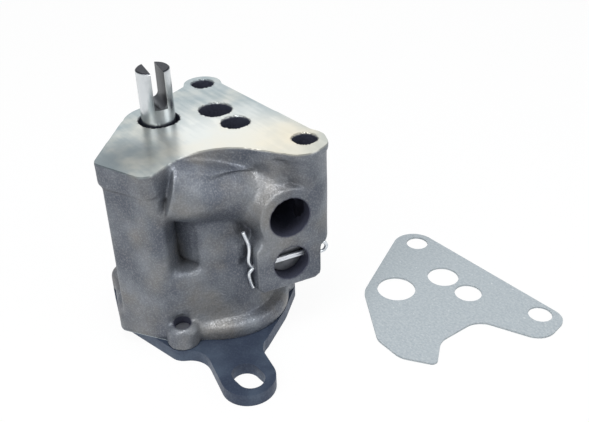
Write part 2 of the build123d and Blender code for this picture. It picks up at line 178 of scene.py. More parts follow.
def rounded_path(points: list[Point], rounds: int) -> Array:
    """Cuts a route's corners so many times, at a quarter and three quarters of every run; its ends stay."""
    route = np.array(points, float)
    for _ in range(rounds):
        first, last = route[:-1], route[1:]
        near = 0.75 * first + 0.25 * last
        far = 0.25 * first + 0.75 * last
        cut = np.stack([near, far], axis=1).reshape(-1, 3)
        route = np.vstack([route[:1], cut, route[-1:]])
    return route


def tube(route: Array, radius: float, sides: int, fixed: Array) -> Mesh:
    """A round profile carried along a route, with its two tips drawn in.

    Each ring is radius * (cos a * side + sin a * up), where up is the fixed direction, squared to the route.

    Args:
        route: points along the middle of the tube.
        radius: the profile's radius.
        sides: corners of the profile.
        fixed: the direction across which the route bends or climbs least.

    Returns:
        Vertex places and quads.
    """
    along = np.gradient(route, axis=0)
    along /= np.linalg.norm(along, axis=1, keepdims=True)
    up = fixed - along * (along @ fixed)[:, None]
    up /= np.linalg.norm(up, axis=1, keepdims=True)
    side = np.cross(along, up)
    angle = np.linspace(0, 2 * math.pi, sides, endpoint=False)
    scale = np.ones(len(route))
    scale[[0, -1]], scale[[1, -2]] = TUBE_TIP, TUBE_SHOULDER
    ring = side[:, None] * np.cos(angle)[None, :, None] + up[:, None] * np.sin(angle)[None, :, None]
    places = route[:, None] + radius * scale[:, None, None] * ring
    row = np.arange(len(route) - 1)[:, None] * sides
    k, nxt = np.arange(sides)[None], (np.arange(sides)[None] + 1) % sides
    quads = np.stack([row + k, row + nxt, row + sides + nxt, row + sides + k], axis=-1).reshape(-1, 4)
    return places.reshape(-1, 3), quads[:, ::-1]


# ---- the pump's own places ----


@dataclass(frozen=True)
class Bore:
    """A machined bore, as a cylinder between two points."""

    start: Point
    end: Point
    radius: float

    def parted(self, places: Array) -> tuple[Array, Array, Array, float]:
        """How far places lie along the axis, their feet on it and spokes from it, and the bore's length."""
        start, end = np.array(self.start), np.array(self.end)
        length = np.linalg.norm(end - start)
        axis = (end - start) / length
        along = (places - start) @ axis
        return along, start + along[:, None] * axis, places - start - along[:, None] * axis, length

    def distance(self, places: Array) -> Array:
        """How far each place lies from the nearest point of the bore's wall, in millimetres."""
        along, _, spoke, length = self.parted(places)
        out = np.linalg.norm(spoke, axis=1) - self.radius
        beyond = np.maximum(np.maximum(-along, along - length), 0.0)
        return np.hypot(out, beyond)

    def snapped(self, places: Array, reach: float, over: float) -> Array:
        """Sets places that lie within reach of the wall on it, also a little over its two ends."""
        along, foot, spoke, length = self.parted(places)
        out = np.linalg.norm(spoke, axis=1)
        near = (along > -over) & (along < length + over) & (np.abs(out - self.radius) < reach)
        scale = np.where(near, self.radius / np.maximum(out, 0.1), 1.0)
        return foot + spoke * scale[:, None]


@dataclass(frozen=True)
class BossFrame:
    """The side boss: its bores run along `normal`, `across` points to its right, and Z is up."""

    turn_deg: float = -12.4
    face: float = 49.9
    side: float = 30.1
    inlet_z: float = -25.4
    inlet_r: float = 7.875
    inlet_depth: float = 24.0
    relief_z: float = -45.2
    relief_r: float = 6.985
    seat_depth: float = 26.0
    seat_r: float = 4.8
    pin_depth: float = 4.3
    pin_hole_r: float = 1.35
    pin_hole: Flat = (-14.2, 12.6)

    @property
    def normal(self) -> Array:
        """Outward direction of the boss's face."""
        a = math.radians(self.turn_deg)
        return np.array([math.cos(a), math.sin(a), 0.0])

    @property
    def across(self) -> Array:
        """Direction across the boss's face."""
        a = math.radians(self.turn_deg)
        return np.array([-math.sin(a), math.cos(a), 0.0])

    def at(self, depth: float, across: float, height: float) -> Array:
        """A place behind the face by depth, across from the bores, at a height in the pump's frame."""
        flat = self.normal * (self.face - depth) + self.across * (self.side + across)
        return np.array([flat[0], flat[1], height])

    def spoke(self, angle: Array) -> Array:
        """Directions out from a bore's axis, at angles (..., 1) in radians from `across` towards up."""
        return np.cos(angle) * self.across + np.sin(angle) * UP

    def bores(self) -> list[Bore]:
        """The inlet bore, the relief bore and the cotter pin's hole."""
        ends = [
            ((self.inlet_depth, 0, self.inlet_z), (0, 0, self.inlet_z), self.inlet_r),
            ((self.seat_depth, 0, self.relief_z), (0, 0, self.relief_z), self.relief_r),
        ]
        ends.append((*((self.pin_depth, t, self.relief_z) for t in self.pin_hole), self.pin_hole_r))
        return [Bore(tuple(self.at(*low)), tuple(self.at(*high)), r) for low, high, r in ends]


BOSS = BossFrame()


# ---- shader nodes ----


class Shader:
    """Small helper that adds nodes to a tree and links them in order."""

    def __init__(self, tree: Tree) -> None:
        """Keeps the tree."""
        self.tree = tree

    def node(self, kind: str, **settings: object) -> Node:
        """Adds a node of one kind, with attributes to set on it."""
        made = self.tree.nodes.new(kind)
        for key, value in settings.items():
            setattr(made, key, value)
        return made

    def link(self, source: Socket, target: Socket) -> None:
        """Links one socket to another."""
        self.tree.links.new(source, target)

    def put(self, socket: Socket, value: object) -> None:
        """Sets a socket to a number or colour, or links it to another node's socket."""
        if isinstance(value, Socket):
            self.link(value, socket)
        else:
            socket.default_value = value

    def surface(self, shader: Node, **values: object) -> None:
        """Sets or links a surface shader's sockets, by name, with _ for a space."""
        for key, value in values.items():
            self.put(shader.inputs[key.replace("_", " ")], value)

    def maths(self, operation: str, a: object, b: object = 0.0, clamp: bool = False) -> Socket:
        """One step of arithmetic on two numbers or sockets; clamp holds the result between 0 and 1."""
        made = self.node("ShaderNodeMath", operation=operation, use_clamp=clamp)
        self.put(made.inputs[0], a)
        self.put(made.inputs[1], b)
        return made.outputs[0]

    def times(self, a: object, b: object, clamp: bool = False) -> Socket:
        """Product of two numbers or sockets."""
        return self.maths("MULTIPLY", a, b, clamp)

    def rest(self, a: Socket, whole: float = 1.0, clamp: bool = False) -> Socket:
        """What a number lacks to the whole."""
        return self.maths("SUBTRACT", whole, a, clamp)

    def stretched(self, place: Socket, scale: Point, turn_deg: float) -> Socket:
        """A place turned about Z and scaled along its own directions."""
        made = self.node("ShaderNodeMapping")
        made.inputs["Rotation"].default_value = (0.0, 0.0, math.radians(turn_deg))
        made.inputs["Scale"].default_value = scale
        self.link(place, made.inputs["Vector"])
        return made.outputs["Vector"]

    def step(self, value: object, low: float, high: float) -> Socket:
        """A smooth step of a socket from 0 at low to 1 at high."""
        made = self.node("ShaderNodeMapRange", interpolation_type="SMOOTHSTEP")
        self.put(made.inputs["Value"], value)
        made.inputs["From Min"].default_value = low
        made.inputs["From Max"].default_value = high
        return made.outputs["Result"]

    def blend(self, share: object, first: object, second: object) -> Socket:
        """Blends two colours by a share: 0 gives the first, 1 the second."""
        made = self.node("ShaderNodeMix", data_type="RGBA", blend_type="MIX")
        self.put(made.inputs[0], share)
        self.put(made.inputs[6], first)
        self.put(made.inputs[7], second)
        return made.outputs[2]

    def between(self, share: object, first: object, second: object) -> Socket:
        """Blends two numbers by a share."""
        made = self.node("ShaderNodeMix", data_type="FLOAT")
        self.put(made.inputs[0], share)
        self.put(made.inputs[2], first)
        self.put(made.inputs[3], second)
        return made.outputs[0]

    def place(self) -> Socket:
        """The surface's own place, in millimetres."""
        coords = self.node("ShaderNodeTexCoord")
        scale = self.node("ShaderNodeMapping")
        scale.inputs["Scale"].default_value = (1 / MM, 1 / MM, 1 / MM)
        self.link(coords.outputs["Object"], scale.inputs["Vector"])
        return scale.outputs["Vector"]

    def noise(self, place: Socket, per_mm: object, detail: float = 3.0) -> Socket:
        """Noise with so many waves to the millimetre."""
        made = self.node("ShaderNodeTexNoise")
        self.link(place, made.inputs["Vector"])
        self.put(made.inputs["Scale"], per_mm)
        made.inputs["Detail"].default_value = detail
        return made.outputs["Fac"]

    def away(self, point: Point, near: float, far: float) -> Socket:
        """Smooth step of the distance from a point, in millimetres: 0 at near, 1 at far."""
        gap = self.node("ShaderNodeVectorMath", operation="DISTANCE")
        self.link(self.place(), gap.inputs[0])
        gap.inputs[1].default_value = point
        return self.step(gap.outputs["Value"], near, far)

    def raised(self, height: Socket, depth_mm: float) -> Socket:
        """Turns a height from 0 to 1 into a normal, for a relief of that depth."""
        bump = self.node("ShaderNodeBump")
        bump.inputs["Distance"].default_value = depth_mm * MM
        self.link(height, bump.inputs["Height"])
        return bump.outputs["Normal"]

    def mask(self, name: str) -> Socket:
        """A number painted on the piece's vertices."""
        return self.node("ShaderNodeAttribute", attribute_name=name).outputs["Fac"]


def shader_group(
    name: str, inputs: dict[str, float], outputs: tuple[str, ...]
) -> tuple[Tree, Shader, Outputs, Inputs]:
    """Starts a node group with named inputs and outputs.

    Args:
        name: the group's name.
        inputs: input names and their usual values.
        outputs: output names.

    Returns:
        The group, a helper for filling it, what it is given and what it gives.
    """
    group = bpy.data.node_groups.new(name, "ShaderNodeTree")
    for key, value in inputs.items():
        socket = group.interface.new_socket(name=key, in_out="INPUT", socket_type="NodeSocketFloat")
        socket.default_value = value
    for key in outputs:
        group.interface.new_socket(name=key, in_out="OUTPUT", socket_type="NodeSocketFloat")
    s = Shader(group)
    return group, s, s.node("NodeGroupInput").outputs, s.node("NodeGroupOutput").inputs


def cast_grain_group() -> Tree:
    """Sand-cast skin: fine sandy grain, small pits, flecks and slow changes of tone."""
    usual = {"Grain": 1.6, "Fleck Size": 0.45}
    group, s, given, out = shader_group("cast_grain", usual, ("Height", "Fleck", "Tone"))
    place = s.place()
    sand = s.noise(place, given["Grain"], 5.0)
    lumps = s.noise(place, s.times(given["Grain"], 0.28), 2.0)
    pits = s.node("ShaderNodeTexVoronoi", feature="F1")
    s.link(place, pits.inputs["Vector"])
    s.link(s.times(given["Grain"], 0.55), pits.inputs["Scale"])
    pit = s.step(pits.outputs["Distance"], 0.05, 0.38)
    height = s.maths("ADD", s.times(sand, 0.55), s.times(lumps, 0.75))
    s.link(s.maths("ADD", height, s.times(pit, 0.18)), out["Height"])
    fleck = s.noise(place, s.maths("DIVIDE", 1.0, given["Fleck Size"]), 4.0)
    s.link(s.step(fleck, 0.44, 0.68), out["Fleck"])
    s.link(s.step(s.noise(place, 0.055, 3.0), 0.36, 0.66), out["Tone"])
    return group


def tool_marks_group() -> Tree:
    """Marks of a cutter over a machined surface: fine lines, broken up by soft noise."""
    group, s, given, out = shader_group("tool_marks", {"Lines": 1.5, "Break": 0.12}, ("Height", "Streak"))
    place = s.place()
    lines = s.node("ShaderNodeTexWave", wave_type="RINGS", rings_direction="Z", wave_profile="SIN")
    shift = s.node("ShaderNodeMapping")
    shift.inputs["Location"].default_value = (190.0, -60.0, 0.0)
    s.link(place, shift.inputs["Vector"])
    s.link(shift.outputs["Vector"], lines.inputs["Vector"])
    s.link(given["Lines"], lines.inputs["Scale"])
    lines.inputs["Distortion"].default_value = 1.2
    lines.inputs["Detail Scale"].default_value = 0.3
    broken = s.noise(place, given["Break"], 3.0)
    drawn = s.stretched(place, (0.22, 2.2, 1.0), -28)
    fine = s.noise(drawn, s.times(given["Break"], 1.6), 5.0)
    s.link(s.times(lines.outputs["Fac"], broken), out["Height"])
    both = s.maths("ADD", s.times(broken, 0.45), s.times(fine, 0.55))
    s.link(s.step(both, 0.40, 0.62), out["Streak"])
    return group


def soil_group() -> Tree:
    """Oil and handling soil: soft patches that come and go over the surface."""
    group, s, given, out = shader_group("soil", {"Patches": 0.06, "Amount": 0.5}, ("Soil",))
    place = s.place()
    patches = s.step(s.noise(place, given["Patches"], 5.0), 0.42, 0.70)
    s.link(s.times(patches, given["Amount"], True), out["Soil"])
    return group


class Effects:
    """The shared effects, each built once."""

    def __init__(self) -> None:
        """Builds the node groups."""
        self.cast_grain = cast_grain_group()
        self.tool_marks = tool_marks_group()
        self.soil = soil_group()

    def use(self, s: Shader, group: Tree, **values: float) -> Outputs:
        """Places a group in a material, with inputs by name and _ for a space, and gives its outputs."""
        made = s.node("ShaderNodeGroup", node_tree=group)
        for key, value in values.items():
            made.inputs[key.replace("_", " ")].default_value = value
        return made.outputs


def started(name: str) -> tuple[Material, Shader, Node]:
    """Starts a material: gives it, its helper and its surface shader."""
    material = bpy.data.materials.new(name)
    material.use_nodes = True
    return material, Shader(material.node_tree), material.node_tree.nodes["Principled BSDF"]


# ---- finishes ----


@dataclass(frozen=True)
class CastIron:
    """Sand-cast grey iron: machined faces with a painted reflection and shade, bores painted dark as shade,
    soil patches, painted shade in its hollows and under the lip, and edges lightened for wear and as a
    painted highlight.
    """

    dark: Colour = (0.098, 0.110, 0.136, 1)
    light: Colour = (0.198, 0.216, 0.240, 1)
    warm: Colour = (0.210, 0.190, 0.160, 1)
    bright: Colour = (0.44, 0.45, 0.46, 1)
    # hollow: the painted shade laid in the filled hollows and along the line under the lip
    hollow: Colour = (0.055, 0.056, 0.066, 1)
    machined: Colour = (0.235, 0.285, 0.300, 1)
    # the machined face's lighter grey is a painted reflection, brightest round its own point
    reflection_grey: Colour = (0.56, 0.58, 0.56, 1)
    cream: Colour = (0.62, 0.56, 0.43, 1)
    # the machined face's darker grey is a painted shade round its own point
    face_shade: Colour = (0.105, 0.130, 0.140, 1)
    reflection_at: Point = (30.0, 8.0, 0.0)
    face_shade_at: Point = (20.0, -24.0, 0.0)
    # bore: painted shade inside the machined bores
    bore: Colour = (0.048, 0.052, 0.080, 1)
    cream_at: Point = (47.0, 21.0, 0.0)
    reflection_reach: Flat = (4.0, 42.0)
    face_shade_reach: Flat = (3.0, 24.0)
    cream_reach: Flat = (4.0, 34.0)
    soiled: float = 0.9
    flecked: float = 0.20
    # worn: how far edges are lightened, partly for wear and partly as a painted highlight
    worn: float = 0.38
    shaded: float = 0.60
    grain_mm: float = 0.30

    def skin(self, s: Shader, grain: Outputs, soil: Outputs) -> Socket:
        """Colour of the cast surface, from its grain and soil, with painted shade in the hollows and edges
        lightened for wear and as a painted highlight.
        """
        skin = s.blend(grain["Tone"], self.dark, self.light)
        skin = s.blend(s.times(soil["Soil"], self.soiled), skin, self.warm)
        skin = s.blend(s.times(grain["Fleck"], self.flecked), skin, self.bright)
        # edges lightened towards bright: partly wear, partly a painted highlight on the convex edges
        skin = s.blend(s.times(s.mask("edge"), self.worn), skin, self.bright)
        # painted shade: the filled hollows and the line under the lip are darkened towards hollow
        return s.blend(s.times(s.mask("hollow_and_lip_shade"), self.shaded), skin, self.hollow)

    def face(self, s: Shader, marks: Outputs, soil: Outputs) -> Socket:
        """Colour of the machined face: a painted reflection brightest along the waist, a painted shade
        towards the nose, creamy towards the right bolt.
        """
        # painted reflection, brightest round its point and lifted along the cutter's streaks; the next blend
        # lays a painted shade round a second point
        reflection_share = s.rest(s.away(self.reflection_at, *self.reflection_reach))
        reflection_share = s.maths("ADD", reflection_share, s.times(marks["Streak"], 0.35), True)
        tone = s.blend(reflection_share, self.machined, self.reflection_grey)
        tone = s.blend(s.rest(s.away(self.face_shade_at, *self.face_shade_reach), 0.9, True), tone, self.face_shade)
        creamy = s.times(s.rest(s.away(self.cream_at, *self.cream_reach)), 0.55)
        creamy = s.maths("ADD", creamy, s.times(soil["Soil"], 0.45), True)
        return s.blend(creamy, tone, self.cream)

    def make(self, effects: Effects) -> Material:
        """Builds the material."""
        material, s, shader = started("cast_iron")
        grain = effects.use(s, effects.cast_grain, Grain=1.25, Fleck_Size=0.62)
        soil = effects.use(s, effects.soil, Patches=0.05, Amount=0.65)
        marks = effects.use(s, effects.tool_marks, Lines=1.4, Break=0.10)
        worked, bored = s.mask("machined"), s.mask("bored")
        face = self.face(s, marks, soil)
        tone = s.blend(worked, self.skin(s, grain, soil), face)
        # the bores painted dark as shade
        colour = s.blend(bored, tone, self.bore)
        rough = s.between(grain["Fleck"], 0.50, 0.38)
        rough = s.between(bored, s.between(worked, rough, 0.30), 0.62)
        metallic = s.between(bored, s.between(worked, 0.55, 0.85), 0.35)
        height = s.between(worked, grain["Height"], s.times(marks["Height"], 0.02))
        normal = s.raised(height, self.grain_mm)
        s.surface(shader, Base_Color=colour, Roughness=rough, Metallic=metallic, Normal=normal)
        return material


@dataclass(frozen=True)
class BluedPlate:
    """Dark blued iron plate with a faint cast grain."""

    base: Colour = (0.040, 0.055, 0.092, 1)
    pale: Colour = (0.098, 0.132, 0.184, 1)

    def make(self, effects: Effects) -> Material:
        """Builds the material."""
        material, s, shader = started("blued_plate")
        grain = effects.use(s, effects.cast_grain, Grain=1.1, Fleck_Size=0.8)
        soil = effects.use(s, effects.soil, Patches=0.07, Amount=0.6)
        tone = s.blend(soil["Soil"], self.base, self.pale)
        flecks = s.times(grain["Fleck"], 0.25)
        rough = s.between(grain["Fleck"], 0.52, 0.42)
        normal = s.raised(grain["Height"], 0.10)
        colour = s.blend(flecks, tone, self.pale)
        s.surface(shader, Base_Color=colour, Roughness=rough, Metallic=0.55, Normal=normal)
        return material


@dataclass(frozen=True)
class GroundSteel:
    """Ground shaft steel, dark on its top faces, with painted shade inside the fork's slot."""

    base: Colour = (0.66, 0.69, 0.71, 1)
    stain: Colour = (0.32, 0.33, 0.36, 1)
    # dark colour of the top faces, also the painted shade inside the fork's slot
    dark_top_and_slot_shade: Colour = (0.035, 0.037, 0.045, 1)
    dark_top_above: float = 20.35
    slot_turn_deg: float = -13.0
    slot_w: float = 4.9
    slot_floor: float = 6.0

    def make(self, effects: Effects) -> Material:
        """Builds the material."""
        material, s, shader = started("ground_steel")
        soil = effects.use(s, effects.soil, Patches=0.12, Amount=0.35)
        marks = effects.use(s, effects.tool_marks, Lines=5.0, Break=0.5)
        place = s.place()
        height = s.node("ShaderNodeSeparateXYZ")
        s.link(place, height.inputs[0])
        up = height.outputs["Z"]
        top = s.step(up, self.dark_top_above - 0.25, self.dark_top_above)
        turn = math.radians(self.slot_turn_deg)
        across = s.node("ShaderNodeVectorMath", operation="DOT_PRODUCT")
        s.link(place, across.inputs[0])
        across.inputs[1].default_value = (-math.sin(turn), math.cos(turn), 0.0)
        off = s.maths("ABSOLUTE", across.outputs["Value"])
        wall = self.slot_w / 2
        # painted shade inside the fork's slot
        inside = s.rest(s.step(off, wall + 0.02, wall + 0.10))
        inside = s.times(inside, s.step(up, self.slot_floor, self.slot_floor + 0.3))
        dark = s.maths("MAXIMUM", top, s.times(inside, 0.85))
        tone = s.blend(soil["Soil"], self.base, self.stain)
        colour = s.blend(dark, tone, self.dark_top_and_slot_shade)
        rough = s.between(dark, s.between(soil["Soil"], 0.22, 0.36), 0.5)
        normal = s.raised(marks["Height"], 0.006)
        s.surface(shader, Base_Color=colour, Roughness=rough, Metallic=1.0, Normal=normal)
        return material


class Metal(Enum):
    """Plain metals of the small pieces: name, two tones, roughness, metallic and grain depth in mm."""

    SINTERED = ("sintered_steel", (0.24, 0.24, 0.25, 1), (0.40, 0.40, 0.41, 1), 0.42, 0.9, 0.04)
    BRONZE = ("sintered_bronze", (0.42, 0.27, 0.11, 1), (0.58, 0.41, 0.20, 1), 0.40, 0.9, 0.03)
    SPRING = ("spring_steel", (0.20, 0.20, 0.22, 1), (0.36, 0.36, 0.38, 1), 0.30, 1.0, 0.01)
    ZINC = ("zinc_wire", (0.66, 0.70, 0.75, 1), (0.86, 0.89, 0.92, 1), 0.30, 0.9, 0.004)
    SCREW = ("screw_steel", (0.16, 0.17, 0.19, 1), (0.34, 0.35, 0.38, 1), 0.38, 0.9, 0.03)
    CUP = ("cup_steel", (0.10, 0.11, 0.12, 1), (0.26, 0.27, 0.29, 1), 0.42, 0.8, 0.03)


def plain_metal(metal: Metal, effects: Effects) -> Material:
    """Builds one of the small pieces' metals, with flecks, soil and a fine grain."""
    name, dark, light, rough, metallic, depth = metal.value
    material, s, shader = started(name)
    grain = effects.use(s, effects.cast_grain, Grain=3.0, Fleck_Size=0.5)
    soil = effects.use(s, effects.soil, Patches=0.25, Amount=0.8)
    tone = s.blend(soil["Soil"], light, dark)
    colour = s.blend(s.times(grain["Fleck"], 0.4), tone, light)
    rough = s.between(soil["Soil"], rough, rough + 0.14)
    normal = s.raised(grain["Height"], depth)
    s.surface(shader, Base_Color=colour, Roughness=rough, Metallic=metallic, Normal=normal)
    return material


@dataclass(frozen=True)
class GasketPaper:
    """Grey-blue treated paper with fine fibres and a faint mottle."""

    base: Colour = (0.325, 0.365, 0.390, 1)
    pale: Colour = (0.395, 0.430, 0.445, 1)
    fibre: Colour = (0.255, 0.290, 0.320, 1)
    speck: Colour = (0.620, 0.640, 0.640, 1)

    def make(self, effects: Effects) -> Material:
        """Builds the material."""
        material, s, shader = started("gasket_paper")
        place = s.place()
        mottle = s.step(s.noise(place, 1.1, 4.0), 0.35, 0.68)
        fibres = s.step(s.noise(s.stretched(place, (0.5, 2.6, 1.0), 20), 1.1, 5.0), 0.50, 0.72)
        tone = s.blend(mottle, self.base, self.pale)
        tone = s.blend(s.times(fibres, 0.55), tone, self.fibre)
        specks = s.step(s.noise(place, 0.9, 2.0), 0.68, 0.74)
        colour = s.blend(s.times(specks, 0.6), tone, self.speck)
        s.surface(shader, Base_Color=colour, Roughness=0.88, Normal=s.raised(fibres, 0.05))
        return material


# ---- the body ----


@dataclass(frozen=True)
class Backing:
    """Metal behind the boss, turned about one of its bores from a closed outline of (depth, radius) pairs."""

    height: float
    span_deg: Flat
    profile: tuple[Flat, ...]
    steps: int = 49

    def mesh(self) -> bpy.types.Mesh:
        """The closed mesh, in metres."""
        depth, radius = np.array(self.profile).T
        angle = np.radians(np.linspace(*self.span_deg, self.steps))[:, None, None]
        places = BOSS.at(0.0, 0.0, self.height) - BOSS.normal * depth[:, None]
        places = places + BOSS.spoke(angle) * radius[:, None]
        grid = np.arange(self.steps * len(depth)).reshape(self.steps, len(depth))
        ahead = np.roll(grid, -1, axis=1)
        quads = np.stack([grid[:-1], ahead[:-1], ahead[1:], grid[1:]], axis=-1).reshape(-1, 4)
        caps = [grid[0, ::-1].tolist(), grid[-1].tolist()]
        mesh = bpy.data.meshes.new("backing")
        mesh.from_pydata((places.reshape(-1, 3) * MM).tolist(), [], quads.tolist() + caps)
        return mesh


INLET_OUTLINE = ((22.6, BOSS.inlet_r), (BOSS.inlet_depth, BOSS.inlet_r), (BOSS.inlet_depth, 0.0), (27.4, 0.0))
INLET_OUTLINE += ((27.1, 4.0), (26.2, 8.0), (24.6, 10.6), (22.6, 11.2))
SEAT_OUTLINE = ((22.6, BOSS.relief_r), (BOSS.seat_depth, BOSS.relief_r), (BOSS.seat_depth, BOSS.seat_r))
SEAT_OUTLINE += ((35.0, BOSS.seat_r), (35.0, 6.6), (31.5, 7.6), (28.5, 9.2), (25.5, 9.9), (22.6, 9.9))


@dataclass
class CastBody:
    """The cast body: the CAD solid with the rounded hollows and softened edges of a sand casting.

    The solid is remeshed evenly. Hollow corners are then filled: each vertex moves out along its normal
    by the mean place of its neighbours, only where that adds metal. Last, all cast edges are softened.
    Machined faces and bores stay where they are. Pairs of numbers are where a mask starts and is full.
    The methods take vertex places in millimetres, quads, and hold: 0 on machined surfaces, 1 on cast ones.
    """

    # sizes of the solid, with Z at 0 on the mounting face
    height: float = 72.0
    drive: Flat = (0.0, 0.0)
    idler: Flat = (25.998, 5.811)
    chamber_r: float = 15.85
    chamber_top: float = -54.4
    bushing_r: float = 7.9
    idler_hole_r: float = 6.35
    idler_hole_top: float = -41.3
    outlet: Flat = (7.1, 20.8)
    outlet_r: float = 6.5
    outlet_floor: float = -63.0
    feed: Flat = (21.4, 20.2)
    feed_r: float = 5.55
    feed_floor: float = -45.0
    bolts: tuple[Flat, ...] = ((-17.65, 31.0), (49.05, 31.0))
    bolt_r: float = 4.7
    bolt_floor: float = -42.0
    screws: tuple[Flat, ...] = ((37.8, -20.5), (9.4, -26.0), (-7.2, -19.8), (-13.5, 18.8), (34.1, 28.0))
    screw_r: float = 3.175
    screw_top: float = -63.6
    # metal that is added before the remesh
    voxel: float = 0.56
    merge_gap: float = 0.004
    filler_at: Point = (8.9, 0.0, -12.2)
    filler_size: Point = (5.0, 9.0, 3.0)
    backings: tuple[Backing, ...] = (
        Backing(BOSS.inlet_z, (-180.0, 180.0), INLET_OUTLINE),
        Backing(BOSS.relief_z, (-105.0, 80.0), SEAT_OUTLINE),
    )
    # filling and softening
    keep: float = 0.55
    fade: float = 2.2
    fill_rounds: int = 42
    fill_rate: float = 0.9
    spared: float = 0.75
    lip_low: Flat = (-12.5, -11.5)
    deep_fills: tuple[tuple[Point, float], ...] = (
        ((48.5, 18.5, -12.0), 9.0),
        ((26.0, -13.0, -26.0), 9.0),
        ((26.5, -13.0, -38.0), 9.0),
        ((45.5, 6.0, -33.0), 9.0),
    )
    deep_rounds: int = 130
    normals_every: int = 15
    soften_rounds: int = 9
    settle_rounds: int = 10
    soften_rate: float = 0.5
    waviness: float = 0.10
    # the low pad on the recessed wall
    pad_r: float = 19.3
    pad_rise: float = 2.0
    pad_span_deg: tuple[Flat, Flat] = ((-107.0, -101.0), (-3.0, 3.0))
    pad_heights: tuple[Flat, Flat] = ((-43.3, -41.3), (-20.0, -18.0))
    # the inlet passage
    duct: tuple[Point, Point] = ((29.2, -15.8, -11.3), (42.0, 14.2, -20.8))
    belly: float = 1.7
    belly_z: float = -14.5
    belly_h: float = 6.0
    undercut: float = 1.3
    undercut_z: float = -5.0
    undercut_h: float = 2.4
    duct_starts: Flat = (0.05, 0.35)
    duct_ends: Flat = (0.75, 1.0)
    duct_wall: Flat = (6.0, 15.0)
    under_flange: Flat = (2.0, 3.6)
    # round the boss's lobe
    moat: float = 4.2
    moat_starts: Flat = (-36.0, -17.0)
    moat_ends: Flat = (-8.0, -2.0)
    moat_inside: Flat = (11.7, 14.0)
    moat_top: Flat = (-8.5, -5.0)
    moat_back: Flat = (7.0, 12.0)
    lobe_low: Flat = (-36.0, -31.0)
    lobe_inside: Flat = (10.5, 12.0)
    lobe_outside: Flat = (15.0, 18.0)
    lobe_free: Flat = (-6.0, 0.0)
    # snapping and paint, with a painted shadow line under the flange's lip and painted shade in the hollows
    face_snap: float = 0.36
    bore_snap: float = 0.4
    bore_over: float = 0.2
    worked_from: float = 0.3
    bored_below: Flat = (0.3, 0.9)
    # the painted shadow line under the flange's lip: its height and thickness, and where it fades along the
    # nose's front and to the right
    lip_shadow_z: float = -9.7
    lip_shadow_h: float = 0.55
    lip_shadow_front: Flat = (6.0, 14.0)
    lip_shadow_right: Flat = (22.0, 30.0)
    # filled_mm: fill depths over which the painted shade in the hollows starts and is full
    filled_mm: Flat = (0.35, 2.0)
    # worn_mm: wear over which edges are lightened, partly as a painted highlight
    worn_mm: Flat = (0.08, 0.45)
    sharp_deg: float = 48.0

    def bores(self) -> list[Bore]:
        """The machined bores of the body."""
        bottom, roof = -self.height, self.chamber_top
        upright = [
            (self.drive, self.bushing_r, roof, 0.0),
            (self.outlet, self.outlet_r, self.outlet_floor, 0.0),
            (self.feed, self.feed_r, self.feed_floor, 0.0),
            *((site, self.bolt_r, self.bolt_floor, 0.0) for site in self.bolts),
            *((site, self.chamber_r, bottom, roof) for site in (self.drive, self.idler)),
            (self.idler, self.idler_hole_r, roof, self.idler_hole_top),
            *((site, self.screw_r, bottom, self.screw_top) for site in self.screws),
        ]
        return [Bore((*site, low), (*site, high), r) for site, r, low, high in upright] + BOSS.bores()

    def filler_placing(self) -> Matrix:
        """Where the flat ball of metal lies that closes the slit between the inlet's lobe and the flange."""
        placing = np.eye(4)
        axes = (BOSS.normal, BOSS.across, UP)
        for axis, (direction, size) in enumerate(zip(axes, self.filler_size, strict=True)):
            placing[:3, axis] = direction * size
        placing[:3, 3] = BOSS.at(*self.filler_at) * MM
        return Matrix(placing.tolist())

    def remeshed(self, node: bpy.types.Object) -> Mesh:
        """Remeshes a merged copy of the CAD solid, with the added metal, into even quads."""
        copy = bpy.data.objects.new("body_copy", node.data.copy())
        bpy.context.scene.collection.objects.link(copy)
        loose = bmesh.new()
        loose.from_mesh(copy.data)
        bmesh.ops.remove_doubles(loose, verts=loose.verts, dist=self.merge_gap * MM)
        bmesh.ops.create_icosphere(loose, subdivisions=4, radius=MM, matrix=self.filler_placing())
        for backing in self.backings:
            loose.from_mesh(backing.mesh())
        loose.to_mesh(copy.data)
        loose.free()
        remesh = copy.modifiers.new("even", "REMESH")
        remesh.mode = "VOXEL"
        remesh.voxel_size = self.voxel * MM
        graph = bpy.context.evaluated_depsgraph_get()
        even = bpy.data.meshes.new_from_object(copy.evaluated_get(graph))
        places, faces = mesh_arrays(even)
        bpy.data.objects.remove(copy)
        return places, faces

    def softened(self, places: Array, faces: Array, hold: Array) -> tuple[Array, ...]:
        """Fills the hollow corners, then softens every cast edge.

        Returns:
            The new places, how far each vertex was filled, and how far it was worn back, in millimetres.
        """
        pairs = np.concatenate([faces[:, [k, (k + 1) % 4]] for k in range(4)])
        heads = np.concatenate([pairs[:, 0], pairs[:, 1]])
        tails = np.concatenate([pairs[:, 1], pairs[:, 0]])
        count = np.maximum(np.bincount(heads, minlength=len(places)), 1)[:, None]

        def pull(now: Array) -> Array:
            """From each vertex to the mean of its neighbours."""
            mean = [np.bincount(heads, now[tails, axis], len(now)) for axis in range(3)]
            return np.stack(mean, axis=1) / count - now

